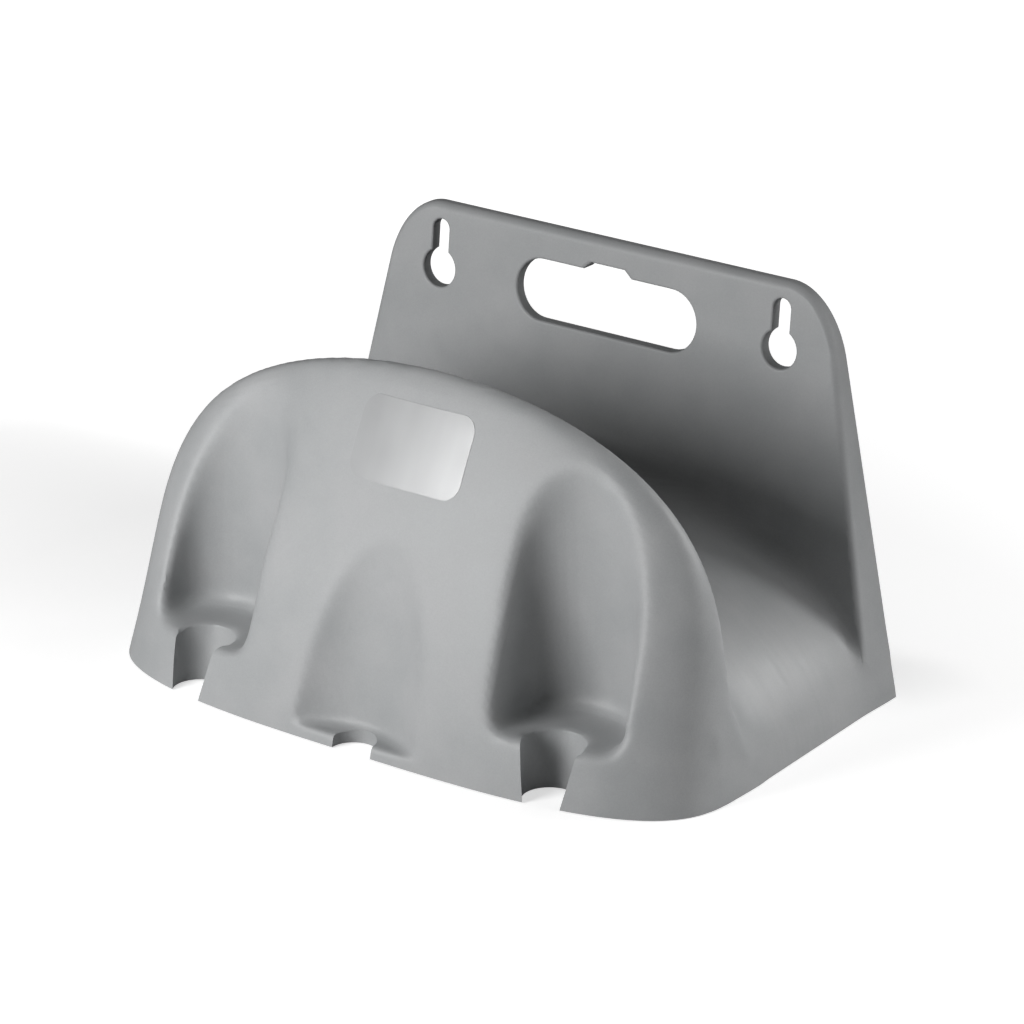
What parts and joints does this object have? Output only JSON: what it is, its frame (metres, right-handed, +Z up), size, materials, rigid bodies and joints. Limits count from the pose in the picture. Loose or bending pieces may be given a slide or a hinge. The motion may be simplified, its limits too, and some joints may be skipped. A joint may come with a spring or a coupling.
{
  "type": "wall hose hanger",
  "caption": "Wall hanger for a coiled garden hose: an arched saddle between a domed front shield, with pockets for the hose ends, and a back plate with keyholes and a grip slot.",
  "frame": {"origin": "on the wall plane, in the middle of the hanger and level with the tops of the keyholes, on the bar between the grip slot and the plate's top edge", "axes": "+X to the right as seen from the room, +Y into the wall, +Z up"},
  "size_m": [0.2384, 0.1439, 0.1362],
  "materials": {
    "shield_plastic": "fine matt grain, mid-grey",
    "saddle_plastic": "fine matt grain, mid-grey",
    "plate_plastic": "fine matt grain, mid-grey",
    "label_film": "smooth and glossy, bare"
  },
  "bodies": {
    "root": {"front_shield": "shield_plastic", "hose_saddle": "saddle_plastic", "back_plate": "plate_plastic", "front_label": "label_film"}
  },
  "joints": []
}
